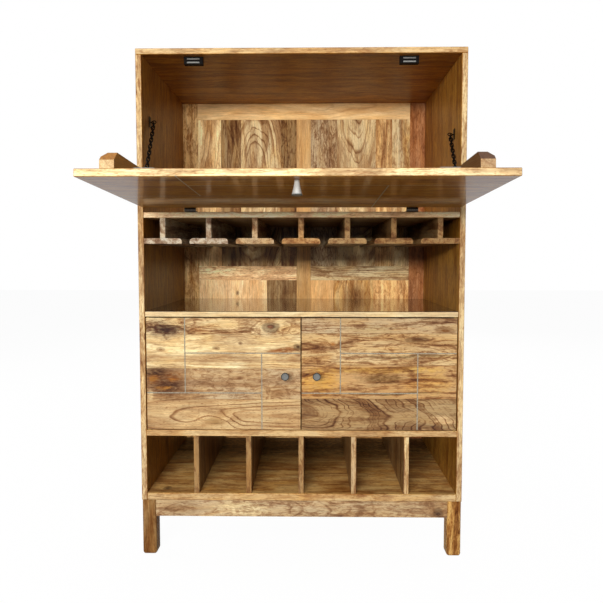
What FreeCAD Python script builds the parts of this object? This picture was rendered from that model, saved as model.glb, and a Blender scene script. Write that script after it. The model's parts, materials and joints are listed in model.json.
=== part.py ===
import FreeCAD, Part
import os

# Bar cabinet in solid wood: a top compartment closed by a drop-down flap on two stay chains,
# a rack for stemmed glasses, an open serving bay, two doors and six bottle cells, on a base
# with four legs. Millimetres; +X is to the right seen from the front, +Y into the cabinet,
# +Z up. Pieces are placed from the carcass's front plane (y = 0), its middle (x = 0) and the
# floor (z = 0). The flap is worked out closed and then opened on its hinge, which is its rest.

V = FreeCAD.Vector

# Carcass
width = 900.0
depth = 465.0
board = 16.0                 # sides, top and shelves
bottom_board = 20.0
back_board = 12.0
divider = 15.0               # bottle dividers and hanger stems
easing = 1.2                 # bevel on the arrises that a hand meets

# Heights, from the floor up
leg_height = 158.0
cell_height = 164.0
door_opening = 319.0
bay_height = 187.0
foot_height = 15.0
stem_height = 56.0
flap_opening = 425.0

# Base
leg_size = 40.0
leg_rounding = 8.0
apron_height = 46.0
apron_thickness = 20.0
glue_block = 22.0
glue_block_length = 70.0
glue_block_from_leg = 160.0  # to the middle of each block on the long aprons

# Back: stiles, rails and the widths of the staves, which share their bay in these proportions
back_stile = 54.0
back_centre_stile = 51.0
back_rail = 57.0
back_middle_rail = 51.0
back_middle_rail_rise = 67.0     # above the middle shelf
upper_staves_left = (83.0, 71.0, 145.0, 55.5)
upper_staves_right = (93.0, 140.0, 58.0, 63.5)
lower_staves_left = (247.0, 107.5)
lower_staves_right = (83.0, 145.0, 126.5)

# Glass rack and bottle cells
hanger_count = 7
hanger_slot = 22.0               # between the feet, which share the rest of the width
hanger_rounding = 9.0
divider_count = 5

# Flap
flap_thickness = 16.0
flap_side_gap = 1.5
flap_top_gap = 4.0
flap_rise = 2.8              # degrees above level when the chains are tight
batten_width = 29.0
batten_height = 35.0
batten_inset = 50.0
batten_bevel = 18.0
batten_arris = 10.0
batten_end_gap = 1.0         # short of the flap's free edge
batten_hinge_gap = 34.0      # short of the flap's hinged edge

# Flap hinges
hinge_from_end = 129.5       # middle of each hinge from the flap's end
hinge_length = 31.0
hinge_leaf = 2.3
hinge_leaf_depth = 18.0      # how far a leaf reaches behind the front plane
barrel_radius = 5.2
barrel_lift = 0.5            # under the barrel
barrel_tuck = 0.2            # how far the barrel reaches behind the front plane
leaf_offset = 0.15           # from the pin's axis to the flap's leaf
hinge_pin_radius = 1.75
hinge_screw_spread = 17.0
hinge_screw_from_front = 11.0
running_gap = 0.05           # around pins that turn
knuckle_gap = 0.3            # between pieces that swing past each other

# Doors
door_thickness = 18.0
door_gap = 2.5               # at the sides and between the doors
door_end_gap = 2.5           # above and below
pivot_inset = 5.0            # pivot axis from the door's outer edge and front face
pivot_radius = 2.0
pivot_in_door = 20.0
bush_wall = 1.4
bush_length = 9.0
bush_flange_radius = 4.8

# Knobs
knob_base_radius = 4.8
knob_stem_radius = 6.6       # on the way from the base to the face
knob_stem_height = 13.0
knob_face_radius = 11.0
knob_length = 32.0
knob_rim = 1.6
knob_bevel = 0.7
door_knob_from_edge = 42.0
flap_knob_from_edge = 34.0

# Screws
screw_radius = 2.0
screw_head_radius = 3.8
screw_head_height = 1.9
hinge_screw_length = 14.0
knob_screw_grip = 10.0
pan_head_radius = 4.2
pan_head_height = 2.4
fixed_gap = 0.05             # around pieces held in their holes

# Magnetic catches and strikes
catch_width = 52.0
catch_depth = 15.0
catch_height = 20.0
catch_rounding = 2.0
catch_plate_width = 34.0
catch_plate_height = 3.6
catch_plate_pitch = 9.6
catch_plate_proud = 1.0
catch_plate_drop = 11.0      # middle of the two plates below the board
flap_catch_from_end = 136.5  # middle of each catch from the flap's end
door_catch_from_edge = 58.75  # middle of each catch from the edge where the doors meet
strike_width = 40.0
strike_height = 14.0
strike_from_edge = 1.5
strike_thickness = 1.5
strike_gap = 0.3

# Inlay: strip section, and per panel the first and second upright line from its left edge
# and the upper and lower level line from its top edge
inlay_width = 3.0
inlay_depth = 2.0
flap_lines = {"first": 199.0, "second": 624.0, "upper": 95.0, "lower": 225.0}
door_lines = {"first": 108.0, "second": 322.0, "upper": 98.0, "lower": 210.0}

# Stay chains
stay_depth = 70.0            # eyes on the side panels, behind the front plane
stay_rise_left = 261.0       # eye on the left side panel, above the deck
stay_rise_right = 224.0      # the right one sits lower
stay_flap_from_edge = 70.0   # eye on the flap, from the hinged edge
stay_flap_from_end = 23.0    # eye on the flap, from the flap's end
eye_radius = 6.0
eye_wire = 3.0
eye_stand = 12.0             # eye's middle above its plate's seat
eye_plate = 2.0
eye_plate_width = 16.0
eye_plate_length = 30.0
link_wire = 2.8
link_bend = 4.2              # radius of the link's round ends, at the wire's middle
link_pitch = 13.5            # aimed at; the count of links is the odd number that fits best
link_gap = 0.3

# Places worked out from the sizes above
half = width / 2
inner = half - board
back_face = depth - back_board
bottom_top = leg_height + bottom_board
lower_low = bottom_top + cell_height
lower_top = lower_low + board
middle_low = lower_top + door_opening
middle_top = middle_low + board
foot_low = middle_top + bay_height
foot_top = foot_low + foot_height
deck_low = foot_top + stem_height
deck_top = deck_low + board
top_low = deck_top + flap_opening
height = top_low + board
hanger_foot = (2 * inner - (hanger_count - 1) * hanger_slot) / hanger_count
hinge_y = barrel_tuck - barrel_radius
hinge_z = deck_top + barrel_lift + barrel_radius
flap_half = inner - flap_side_gap
flap_bottom = hinge_z + leaf_offset + hinge_leaf
flap_top = top_low - flap_top_gap
flap_swing = 90 - flap_rise
flap_catch_x = flap_half - flap_catch_from_end
door_width = inner - 1.5 * door_gap
door_bottom = lower_top + door_end_gap
door_top = middle_low - door_end_gap
door_middle = (door_bottom + door_top) / 2
door_catch_x = door_gap / 2 + door_catch_from_edge
pivot_x = inner - door_gap - pivot_inset


def block(x, y, z):
    """Box between two limits on each axis."""
    return Part.makeBox(x[1] - x[0], y[1] - y[0], z[1] - z[0], V(x[0], y[0], z[0]))


def span(a, b):
    """Two limits in rising order."""
    return (min(a, b), max(a, b))


def prism(points, along):
    """Flat polygon carried along a vector."""
    return Part.Face(Part.makePolygon(points + points[:1])).extrude(along)


def rod(start, along, radius):
    """Round bar from a point along a vector."""
    return Part.makeCylinder(radius, along.Length, start, along)


def ease_front(solid):
    """Solid with the arrises round its foremost face bevelled."""
    front = solid.BoundBox.YMin
    arrises = [edge for edge in solid.Edges if edge.BoundBox.YMax < front + easing / 10]
    return solid.makeChamfer(easing, arrises)


def ease_all(solid):
    """Solid with every arris bevelled."""
    return solid.makeChamfer(easing, solid.Edges)


def cut_all(solid, tools):
    """Solid with each tool cut away."""
    for tool in tools:
        solid = solid.cut(tool)
    return solid


def screw(head, way, length, grow=0.0):
    """Countersunk screw driven along a unit vector from the middle of its head; grow makes its hole."""
    cone = Part.makeCone(screw_head_radius + grow, screw_radius + grow, screw_head_height, head, way)
    return cone.fuse(rod(head, way * length, screw_radius + grow))


def opened(solid):
    """Flap piece turned on the hinge from closed to its rest, held by the chains."""
    turned = solid.copy()
    turned.rotate(V(0, hinge_y, hinge_z), V(1, 0, 0), flap_swing)
    return turned


def opened_point(point):
    """Point of the closed flap where it lies at rest."""
    turn = FreeCAD.Rotation(V(1, 0, 0), flap_swing)
    pivot = V(0, hinge_y, hinge_z)
    return pivot + turn.multVec(point - pivot)


def carcass():
    """Sides, top, bottom and shelves."""
    across = (-inner, inner)
    inside = (0, back_face)
    upright = (leg_height, top_low)
    bushes = [bush_hole(side, end) for side in (-1, 1) for end in (-1, 1)]
    deck = ease_front(block(across, inside, (deck_low, deck_top)))
    deck_screws = [hole for x in hinge_places() for hole in deck_leaf_screws(x, fixed_gap)]
    return {
        "left_side": [ease_front(block((-half, -inner), (0, depth), upright))],
        "right_side": [ease_front(block((inner, half), (0, depth), upright))],
        "top_panel": [ease_all(block((-half, half), (0, depth), (top_low, height)))],
        "bottom_board": [ease_front(block(across, inside, (leg_height, bottom_top)))],
        "lower_shelf": [cut_all(ease_front(block(across, inside, (lower_low, lower_top))), bushes)],
        "middle_shelf": [cut_all(ease_front(block(across, inside, (middle_low, middle_top))), bushes)],
        "rack_deck": [cut_all(deck, deck_screws)],
    }


def staves(left, right, widths, z):
    """Boards side by side that fill the space between two limits."""
    share = (right - left) / sum(widths)
    edges = [left + share * sum(widths[:place]) for place in range(len(widths) + 1)]
    return [block(pair, (back_face, depth), z) for pair in zip(edges, edges[1:])]


def back():
    """Patchwork back: stiles and rails round staves of mixed widths."""
    thick = (back_face, depth)
    stile_edge = inner - back_stile
    centre_edge = back_centre_stile / 2
    bays = ((-stile_edge, -centre_edge), (centre_edge, stile_edge))
    middle_rail_low = middle_top + back_middle_rail_rise
    middle_rail_top = middle_rail_low + back_middle_rail
    end_rails = ((leg_height, leg_height + back_rail), (top_low - back_rail, top_low))
    upright = (leg_height, top_low)
    between_rails = (leg_height + back_rail, top_low - back_rail)
    frame = [block((-inner, -stile_edge), thick, upright), block((stile_edge, inner), thick, upright)]
    frame += [block((-stile_edge, stile_edge), thick, rail) for rail in end_rails]
    frame.append(block((-centre_edge, centre_edge), thick, between_rails))
    frame += [block(bay, thick, (middle_rail_low, middle_rail_top)) for bay in bays]
    upper = (middle_rail_top, top_low - back_rail)
    lower = (leg_height + back_rail, middle_rail_low)
    return {
        "back_frame": frame,
        "back_upper_staves": staves(*bays[0], upper_staves_left, upper)
        + staves(*bays[1], upper_staves_right, upper),
        "back_lower_staves": staves(*bays[0], lower_staves_left, lower)
        + staves(*bays[1], lower_staves_right, lower),
    }


def hanger_foot_solid(x):
    """Foot of a hanger: its two upper edges are rounded unless they meet a side panel."""
    foot = block((x - hanger_foot / 2, x + hanger_foot / 2), (0, back_face), (foot_low, foot_top))
    edges = [edge for edge in foot.Edges
             if edge.BoundBox.YLength > back_face / 2 and edge.CenterOfMass.z > foot_top - foot_height / 2
             and abs(edge.CenterOfMass.x) < inner - hanger_slot / 2]
    return foot.makeFillet(hanger_rounding, edges)


def glass_rack():
    """Inverted-T hangers under the deck; bowls hang on the feet and stems slide in the slots."""
    pitch = hanger_foot + hanger_slot
    nodes = {}
    for place in range(hanger_count):
        x = (place - (hanger_count - 1) / 2) * pitch
        stem = block((x - divider / 2, x + divider / 2), (0, back_face), (foot_top, deck_low))
        nodes["glass_hanger_%d" % (place + 1)] = [ease_front(stem), hanger_foot_solid(x)]
    return nodes


def bottle_cells():
    """Upright dividers, evenly spaced between the sides."""
    cell = (2 * inner - divider_count * divider) / (divider_count + 1)
    nodes = {}
    for place in range(divider_count):
        x = -inner + (place + 1) * cell + place * divider
        upright = block((x, x + divider), (0, back_face), (bottom_top, lower_low))
        nodes["bottle_divider_%d" % (place + 1)] = [ease_front(upright)]
    return nodes


def leg(x, y):
    """Square leg, rounded except where it meets the carcass."""
    post = block(x, y, (0, leg_height))
    edges = [edge for edge in post.Edges if edge.BoundBox.ZMin < leg_height / 2]
    return post.makeFillet(leg_rounding, edges)


def base():
    """Legs at the corners, aprons between them and glue blocks under the bottom board."""
    left, right = (-half, leg_size - half), (half - leg_size, half)
    front, rear = (0, leg_size), (depth - leg_size, depth)
    between_x = (leg_size - half, half - leg_size)
    between_y = (leg_size, depth - leg_size)
    tall = (leg_height - apron_height, leg_height)
    block_z = (leg_height - glue_block, leg_height)
    long_y = ((apron_thickness, apron_thickness + glue_block),
              (depth - apron_thickness - glue_block, depth - apron_thickness))
    blocks = []
    for side in (-1, 1):
        place = side * (half - leg_size - glue_block_from_leg)
        along = (place - glue_block_length / 2, place + glue_block_length / 2)
        blocks += [block(along, y, block_z) for y in long_y]
        reach = span(side * (half - apron_thickness), side * (half - apron_thickness - glue_block))
        along = ((depth - glue_block_length) / 2, (depth + glue_block_length) / 2)
        blocks.append(block(reach, along, block_z))
    return {
        "front_left_leg": [leg(left, front)],
        "front_right_leg": [leg(right, front)],
        "back_left_leg": [leg(left, rear)],
        "back_right_leg": [leg(right, rear)],
        "front_apron": [block(between_x, (0, apron_thickness), tall)],
        "back_apron": [block(between_x, (depth - apron_thickness, depth), tall)],
        "left_apron": [block((-half, apron_thickness - half), between_y, tall)],
        "right_apron": [block((half - apron_thickness, half), between_y, tall)],
        "base_glue_blocks": blocks,
    }


def inlay(left, right, bottom, top, lines):
    """Four strips let into a front face, each running from an edge to the side of the next."""
    side = inlay_width / 2
    first = left + lines["first"]
    second = left + lines["second"]
    upper = top - lines["upper"]
    lower = top - lines["lower"]
    deep = (0, inlay_depth)
    return [
        block((first - side, first + side), deep, (lower + side, top)),
        block((first + side, right), deep, (upper - side, upper + side)),
        block((second - side, second + side), deep, (bottom, upper - side)),
        block((left, second - side), deep, (lower - side, lower + side)),
    ]


def knob(x, z):
    """Knob on a front face, flaring from a slim base to a round flat face, bored for its screw."""
    flare = Part.BSplineCurve()
    rim_low = knob_length - knob_rim
    flare.interpolate([V(knob_base_radius, 0, 0), V(knob_stem_radius, 0, knob_stem_height),
                       V(knob_face_radius, 0, rim_low)])
    corners = [V(knob_face_radius, 0, rim_low), V(knob_face_radius, 0, knob_length - knob_bevel),
               V(knob_face_radius - knob_bevel, 0, knob_length), V(0, 0, knob_length), V(0, 0, 0),
               V(knob_base_radius, 0, 0)]
    edges = [flare.toShape()] + [Part.makeLine(a, b) for a, b in zip(corners, corners[1:])]
    body = Part.Face(Part.Wire(edges)).revolve(V(0, 0, 0), V(0, 0, 1), 360)
    body.Placement = FreeCAD.Placement(V(x, 0, z), FreeCAD.Rotation(V(0, 0, 1), V(0, -1, 0)))
    return body.cut(rod(V(x, 0, z), V(0, -knob_screw_grip, 0), screw_radius + fixed_gap))


def knob_screw(x, z, panel):
    """Pan-head screw from the panel's inner face into the knob."""
    head = rod(V(x, panel, z), V(0, pan_head_height, 0), pan_head_radius)
    return head.fuse(rod(V(x, panel, z), V(0, -panel - knob_screw_grip, 0), screw_radius))


def knob_hole(x, z, panel):
    """Way through the panel for the knob's screw."""
    return rod(V(x, 0, z), V(0, panel, 0), screw_radius + fixed_gap)


def strike(x, edge, panel):
    """Steel plate on a panel's inner face near its upper edge, met by a catch."""
    high = edge - strike_from_edge
    return block((x - strike_width / 2, x + strike_width / 2), (panel, panel + strike_thickness),
                 (high - strike_height, high))


def batten(side):
    """Cleat on the flap's inner face, bevelled at its free end and along its outer arris."""
    x_out = side * (flap_half - batten_inset)
    x_in = x_out - side * batten_width
    crest = flap_thickness + batten_height
    low, high = flap_bottom + batten_hinge_gap, flap_top - batten_end_gap
    profile = [V(x_in, flap_thickness, low), V(x_in, crest, low), V(x_in, crest, high - batten_bevel),
               V(x_in, crest - batten_bevel, high), V(x_in, flap_thickness, high)]
    corner = [V(x_out, crest, low), V(x_out, crest - batten_arris, low),
              V(x_out - side * batten_arris, crest, low)]
    bar = prism(profile, V(x_out - x_in, 0, 0))
    return bar.cut(prism(corner, V(0, 0, high - low)))


def hinge_places():
    """Middle of each flap hinge."""
    place = flap_half - hinge_from_end
    return (-place, place)


def barrel(x, length, grow=0.0):
    """Round bar about the hinge axis, centred on x."""
    return rod(V(x - length / 2, hinge_y, hinge_z), V(length, 0, 0), barrel_radius + grow)


def hinge_pin(x, grow=0.0):
    """Pin of a flap hinge; grow makes its bore."""
    return rod(V(x - hinge_length / 2, hinge_y, hinge_z), V(hinge_length, 0, 0), hinge_pin_radius + grow)


def screw_places(x):
    """Places of a leaf's screws along the hinge."""
    return (x - hinge_screw_spread / 2, x + hinge_screw_spread / 2)


def deck_leaf_screws(x, grow=0.0):
    """Screws, or their holes, from the lower leaf into the deck."""
    top = deck_top + hinge_leaf
    return [screw(V(place, hinge_screw_from_front, top), V(0, 0, -1), hinge_screw_length, grow)
            for place in screw_places(x)]


def flap_leaf_screws(x, grow=0.0):
    """Screws, or their holes, from the upper leaf into the closed flap's lower edge."""
    low = flap_bottom - hinge_leaf
    return [screw(V(place, flap_thickness / 2, low), V(0, 0, 1), hinge_screw_length, grow)
            for place in screw_places(x)]


def deck_leaf(x):
    """Lower leaf with the two outer knuckles."""
    knuckle = hinge_length / 3
    plate = block((x - hinge_length / 2, x + hinge_length / 2), (hinge_y, hinge_leaf_depth),
                  (deck_top, deck_top + hinge_leaf))
    middle = barrel(x, knuckle + 2 * knuckle_gap, knuckle_gap)
    leaf = plate.fuse(barrel(x, hinge_length)).cut(middle)
    return cut_all(leaf, [hinge_pin(x, running_gap)] + deck_leaf_screws(x, fixed_gap)).removeSplitter()


def flap_leaf(x):
    """Upper leaf with the middle knuckle, on the closed flap's lower edge."""
    knuckle = hinge_length / 3
    plate = block((x - hinge_length / 2, x + hinge_length / 2), (hinge_y, flap_thickness - easing),
                  (flap_bottom - hinge_leaf, flap_bottom))
    middle = barrel(x, knuckle)
    ends = [barrel(x + side * knuckle, knuckle, knuckle_gap) for side in (-1, 1)]
    leaf = cut_all(plate, ends).fuse(middle)
    return cut_all(leaf, [hinge_pin(x, running_gap)] + flap_leaf_screws(x, fixed_gap)).removeSplitter()


def flap():
    """Flap panel and all that rides on it, closed and then opened."""
    edge_z = flap_top - flap_knob_from_edge
    strips = inlay(-flap_half, flap_half, flap_bottom, flap_top, flap_lines)
    panel = ease_all(block((-flap_half, flap_half), (0, flap_thickness), (flap_bottom, flap_top)))
    strips = [strip.common(panel) for strip in strips]
    screws = [hole for x in hinge_places() for hole in flap_leaf_screws(x, fixed_gap)]
    panel = cut_all(panel, strips + screws + [knob_hole(0, edge_z, flap_thickness)])
    closed = {
        "flap_panel": [panel],
        "left_batten": [batten(-1)],
        "right_batten": [batten(1)],
        "flap_inlay": strips,
        "flap_knob": [knob(0, edge_z), knob_screw(0, edge_z, flap_thickness)],
        "flap_strikes": [strike(side * flap_catch_x, flap_top, flap_thickness) for side in (-1, 1)],
        "flap_hinge_leaves": [flap_leaf(x) for x in hinge_places()],
        "flap_hinge_screws": [one for x in hinge_places() for one in flap_leaf_screws(x)],
    }
    return {name: [opened(solid) for solid in solids] for name, solids in closed.items()}


def deck_hinges():
    """Hinge pieces that stay with the deck."""
    return {
        "deck_hinge_leaves": [deck_leaf(x) for x in hinge_places()],
        "deck_hinge_screws": [one for x in hinge_places() for one in deck_leaf_screws(x)],
        "flap_hinge_pins": [hinge_pin(x) for x in hinge_places()],
    }


def catch_plates(x, face, ceiling):
    """Two steel plates of a catch, whose edges stand a little out of its housing."""
    middle = ceiling - catch_plate_drop
    rear = face + catch_plate_proud + catch_depth / 2
    return [block((x - catch_plate_width / 2, x + catch_plate_width / 2), (face, rear),
                  (middle + place - catch_plate_height / 2, middle + place + catch_plate_height / 2))
            for place in (-catch_plate_pitch / 2, catch_plate_pitch / 2)]


def catch_housing(x, face, ceiling):
    """Housing of a catch under a board, rounded at its upright edges, slotted for its plates."""
    front = face + catch_plate_proud
    body = block((x - catch_width / 2, x + catch_width / 2), (front, front + catch_depth),
                 (ceiling - catch_height, ceiling))
    upright = [edge for edge in body.Edges if edge.BoundBox.ZLength > catch_height / 2]
    return cut_all(body.makeFillet(catch_rounding, upright), catch_plates(x, face, ceiling))


def catches():
    """Catches under the top panel for the flap and under the middle shelf for the doors."""
    flap_face = flap_thickness + strike_thickness + strike_gap
    door_face = door_thickness + strike_thickness + strike_gap
    places = [(side * flap_catch_x, flap_face, top_low) for side in (-1, 1)]
    places += [(side * door_catch_x, door_face, middle_low) for side in (-1, 1)]
    return {
        "catch_housings": [catch_housing(*place) for place in places],
        "catch_plates": [plate for place in places for plate in catch_plates(*place)],
    }


def pivot_seat(end):
    """Face of the board that a pivot turns in: end 1 is above the door and -1 below."""
    return middle_low if end > 0 else lower_top


def bush_hole(side, end):
    """Hole in a shelf for a pivot's bush."""
    return rod(V(side * pivot_x, pivot_inset, pivot_seat(end)), V(0, 0, end * bush_length),
               pivot_radius + bush_wall + fixed_gap)


def bush(side, end):
    """Flanged bush whose flange keeps the door off the shelf."""
    seat = V(side * pivot_x, pivot_inset, pivot_seat(end))
    flange = V(0, 0, -end * (door_end_gap - knuckle_gap))
    sleeve = rod(seat, V(0, 0, end * bush_length), pivot_radius + bush_wall)
    bore_length = bush_length + door_end_gap
    bore = rod(seat + flange, V(0, 0, end * bore_length), pivot_radius + running_gap)
    return sleeve.fuse(rod(seat, flange, bush_flange_radius)).cut(bore)


def pivot_bushes():
    """Bushes above and below both doors."""
    return {"door_pivot_bushes": [bush(side, end) for side in (-1, 1) for end in (-1, 1)]}


def pivot_pin(side, end, grow=0.0):
    """Pin standing out of a door's end; grow makes its hole."""
    start = pivot_seat(end) - end * (door_end_gap + pivot_in_door)
    length = pivot_in_door + door_end_gap + bush_length - knuckle_gap
    return rod(V(side * pivot_x, pivot_inset, start), V(0, 0, end * length), pivot_radius + grow)


def door(side):
    """Door closed: panel, inlay, knob, pivot pins and strike."""
    left, right = span(side * door_gap / 2, side * (door_gap / 2 + door_width))
    knob_x = side * (door_gap / 2 + door_knob_from_edge)
    panel = ease_front(block((left, right), (0, door_thickness), (door_bottom, door_top)))
    strips = [strip.common(panel) for strip in inlay(left, right, door_bottom, door_top, door_lines)]
    holes = [pivot_pin(side, end, fixed_gap) for end in (-1, 1)]
    panel = cut_all(panel, strips + holes + [knob_hole(knob_x, door_middle, door_thickness)])
    name = "left_door_" if side < 0 else "right_door_"
    return {
        name + "panel": [panel],
        name + "inlay": strips,
        name + "knob": [knob(knob_x, door_middle), knob_screw(knob_x, door_middle, door_thickness)],
        name + "pivots": [pivot_pin(side, end) for end in (-1, 1)],
        name + "strike": [strike(side * door_catch_x, door_top, door_thickness)],
    }


def stay_ends(side):
    """Middles of the eyes on the side panel and on the open flap, and the unit vector between them."""
    rise = stay_rise_left if side < 0 else stay_rise_right
    fixed = V(side * (inner - eye_stand), stay_depth, deck_top + rise)
    moving = opened_point(V(side * (flap_half - stay_flap_from_end), flap_thickness + eye_stand,
                            flap_bottom + stay_flap_from_edge))
    way = moving - fixed
    return fixed, moving, way.normalize()


def stay_axes(way):
    """Unit vectors square to a chain: across the cabinet, and square to that."""
    across = V(1, 0, 0) - way * way.x
    across.normalize()
    return across, way.cross(across)


def eye_ring(middle, way):
    """Ring of an eye, in the plane of the chain and the cabinet's width."""
    return Part.makeTorus(eye_radius, eye_wire / 2, middle, stay_axes(way)[1])


def side_eye(side):
    """Eye on the side panel: plate, shank and ring."""
    fixed, _, way = stay_ends(side)
    plate = block(span(side * inner, side * (inner - eye_plate)),
                  (fixed.y - eye_plate_width / 2, fixed.y + eye_plate_width / 2),
                  (fixed.z - eye_plate_length / 2, fixed.z + eye_plate_length / 2))
    across = stay_axes(way)[0]
    near = fixed + across * (side * eye_radius)
    seat = V(side * (inner - eye_plate / 2), near.y, near.z)
    return plate.fuse(rod(seat, near - seat, eye_wire / 2)).fuse(eye_ring(fixed, way))


def flap_eye(side):
    """Eye on the flap's inner face: plate, shank and ring."""
    _, moving, way = stay_ends(side)
    x = side * (flap_half - stay_flap_from_end)
    z = flap_bottom + stay_flap_from_edge
    plate = opened(block((x - eye_plate_width / 2, x + eye_plate_width / 2),
                         (flap_thickness, flap_thickness + eye_plate),
                         (z - eye_plate_length / 2, z + eye_plate_length / 2)))
    normal = opened_point(V(0, 1, 0)) - opened_point(V(0, 0, 0))
    low = moving + way * eye_radius
    rise = (low - moving).dot(normal) + eye_stand - eye_plate / 2
    shank = rod(low, normal * -rise, eye_wire / 2)
    return plate.fuse(shank).fuse(eye_ring(moving, way))


def link(straight):
    """Welded link: two straight wires joined by half rings, its long way on Z, its flat on XZ."""
    wire = link_wire / 2
    section = Part.Face(Part.Wire(Part.makeCircle(wire, V(link_bend, 0, straight), V(0, 0, 1))))
    bend = section.revolve(V(0, 0, straight), V(0, -1, 0), 180)
    other = bend.copy()
    other.rotate(V(0, 0, 0), V(0, 1, 0), 180)
    sides = [rod(V(side * link_bend, 0, -straight), V(0, 0, 2 * straight), wire) for side in (-1, 1)]
    return bend.fuse([other] + sides).removeSplitter()


def chain(side):
    """Links between the two eyes, each a quarter turn from the last."""
    fixed, moving, way = stay_ends(side)
    reach = eye_radius - (eye_wire + link_wire) / 2 - link_gap
    start = fixed + way * reach
    total = (moving - way * reach - start).Length
    count = 2 * int(total / link_pitch / 2) + 1
    overlap = link_wire + link_gap
    length = (total + (count - 1) * overlap) / count
    across, square = stay_axes(way)
    pattern = link(length / 2 - link_bend)
    links = []
    for place in range(count):
        flat = across if place % 2 else square
        turn = FreeCAD.Rotation(flat, way.cross(flat), way, "ZXY")
        one = pattern.copy()
        one.Placement = FreeCAD.Placement(start + way * (length / 2 + place * (length - overlap)), turn)
        links.append(one)
    return links


def stays():
    """Chains that hold the open flap, and their eyes."""
    return {
        "left_stay_chain": chain(-1),
        "right_stay_chain": chain(1),
        "stay_side_eyes": [side_eye(side) for side in (-1, 1)],
        "stay_flap_eyes": [flap_eye(side) for side in (-1, 1)],
    }


def foremost():
    """How far the open flap's free edge reaches in front of the carcass's front plane."""
    return -opened_point(V(0, easing, flap_top)).y


def main():
    """Build every piece, move the origin to the middle of the footprint and write the files."""
    nodes = {}
    for pieces in (carcass(), back(), glass_rack(), bottle_cells(), base(), flap(), deck_hinges(), catches(),
                   pivot_bushes(), door(-1), door(1), stays()):
        nodes.update(pieces)
    shift = V(0, (foremost() - depth) / 2, 0)
    os.makedirs("parts", exist_ok=True)
    for name, solids in nodes.items():
        moved = [solid.translated(shift) for solid in solids]
        shape = moved[0] if len(moved) == 1 else Part.makeCompound(moved)
        shape.exportStep("parts/%s.step" % name)
    print("nodes", len(nodes), "solids", sum(len(solids) for solids in nodes.values()))
    print("front plane y", shift.y, "height", height, "flap hinge", hinge_y + shift.y, hinge_z)
    print("flap swing", flap_swing, "door pivots", pivot_x, pivot_inset + shift.y)


main()
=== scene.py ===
import json
import math

import bpy
import numpy as np
from mathutils import Matrix, Vector


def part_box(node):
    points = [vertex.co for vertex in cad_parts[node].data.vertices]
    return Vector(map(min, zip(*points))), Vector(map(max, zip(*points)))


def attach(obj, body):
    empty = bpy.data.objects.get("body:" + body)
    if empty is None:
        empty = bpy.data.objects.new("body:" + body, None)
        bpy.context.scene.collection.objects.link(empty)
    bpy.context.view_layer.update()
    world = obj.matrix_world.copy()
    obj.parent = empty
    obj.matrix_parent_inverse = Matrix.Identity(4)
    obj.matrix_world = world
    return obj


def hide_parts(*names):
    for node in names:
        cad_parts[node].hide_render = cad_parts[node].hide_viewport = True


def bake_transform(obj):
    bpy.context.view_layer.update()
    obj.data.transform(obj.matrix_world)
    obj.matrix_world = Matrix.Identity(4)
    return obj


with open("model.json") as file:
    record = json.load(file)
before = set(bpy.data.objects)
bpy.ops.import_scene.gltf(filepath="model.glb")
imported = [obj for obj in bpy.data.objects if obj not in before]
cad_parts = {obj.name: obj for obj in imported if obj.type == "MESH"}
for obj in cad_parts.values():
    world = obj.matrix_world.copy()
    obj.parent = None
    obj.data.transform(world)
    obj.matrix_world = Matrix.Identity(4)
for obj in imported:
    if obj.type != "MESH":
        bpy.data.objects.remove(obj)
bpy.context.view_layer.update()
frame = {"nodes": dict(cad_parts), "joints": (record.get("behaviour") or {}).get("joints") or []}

# Lengths are in metres, in the frame of the solids: +X right, +Y into the cabinet, +Z up.
# Places on a board, and the sizes of its grain, are in millimetres.
MM = 0.001
X, Y, Z = Vector((1, 0, 0)), Vector((0, 1, 0)), Vector((0, 0, 1))
nodes = frame["nodes"]
joints = {joint["name"]: joint for joint in frame["joints"]}
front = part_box("left_side")[0].y

# A colour ramp holds numbers from 0 to 1, so a plank's look is stored as shares of these spans:
# places along and across a board in mm, the depth of the figure, and waves and ring spacing in mm
heart_span, figure_span, bend_span = 4000, 4, 40


def linear(code):
    """Linear colour of an sRGB hex value."""
    channels = np.array([int(code[place:place + 2], 16) for place in (1, 3, 5)]) / 255
    curve = np.where(channels <= 0.04045, channels / 12.92, ((channels + 0.055) / 1.055) ** 2.4)
    return (*curve.tolist(), 1.0)


def add(tree, kind, inputs=None, stops=None, **settings):
    """Adds one node with its settings. Each input is a value, the socket that feeds it, or a node, which
    feeds it by its first output."""
    node = tree.nodes.new("ShaderNode" + kind)
    for name, value in settings.items():
        setattr(node, name, value)
    for key, value in (inputs or {}).items():
        if isinstance(value, bpy.types.Node):
            value = value.outputs[0]
        if isinstance(value, bpy.types.NodeSocket):
            tree.links.new(value, node.inputs[key])
        else:
            node.inputs[key].default_value = value
    for place, (position, colour) in enumerate(stops or ()):
        elements = node.color_ramp.elements
        element = elements[place] if place < 2 else elements.new(position)
        element.position = position
        element.color = colour
    return node


def new_material(name):
    """Empty node material: its tree and its output."""
    material = bpy.data.materials.new(name)
    material.use_nodes = True
    material.node_tree.nodes.clear()
    return material, material.node_tree, add(material.node_tree, "OutputMaterial")


def plank(tone, figure=1.2, heart=(-900, 70), slope=0.03, drift=0.0, streak=0.5, bands=0.5, lines=0.3,
          mottle=0.25, clouds=0.6, dashes=0.6, warp=14.0, spacing=7.0):
    """Look of one plank: the name of its tone and the depth of its figure; where the heart of the tree
    comes through its face, in mm along and across from the board's middle; how the heart slopes through
    the face and drifts across it; the strength of streaks, bands, ring lines, mottling, clouds and dashes;
    and, in mm, how far the rings sway and how far apart they lie."""
    heart = (*(value / heart_span + 0.5 for value in heart), drift + 0.5, slope + 0.5)
    return {"tint": (*linear(tones[tone])[:3], figure / figure_span), "heart": heart,
            "marks": (streak, bands, lines, mottle),
            "bend": (clouds, dashes, warp / bend_span, spacing / bend_span)}


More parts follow.
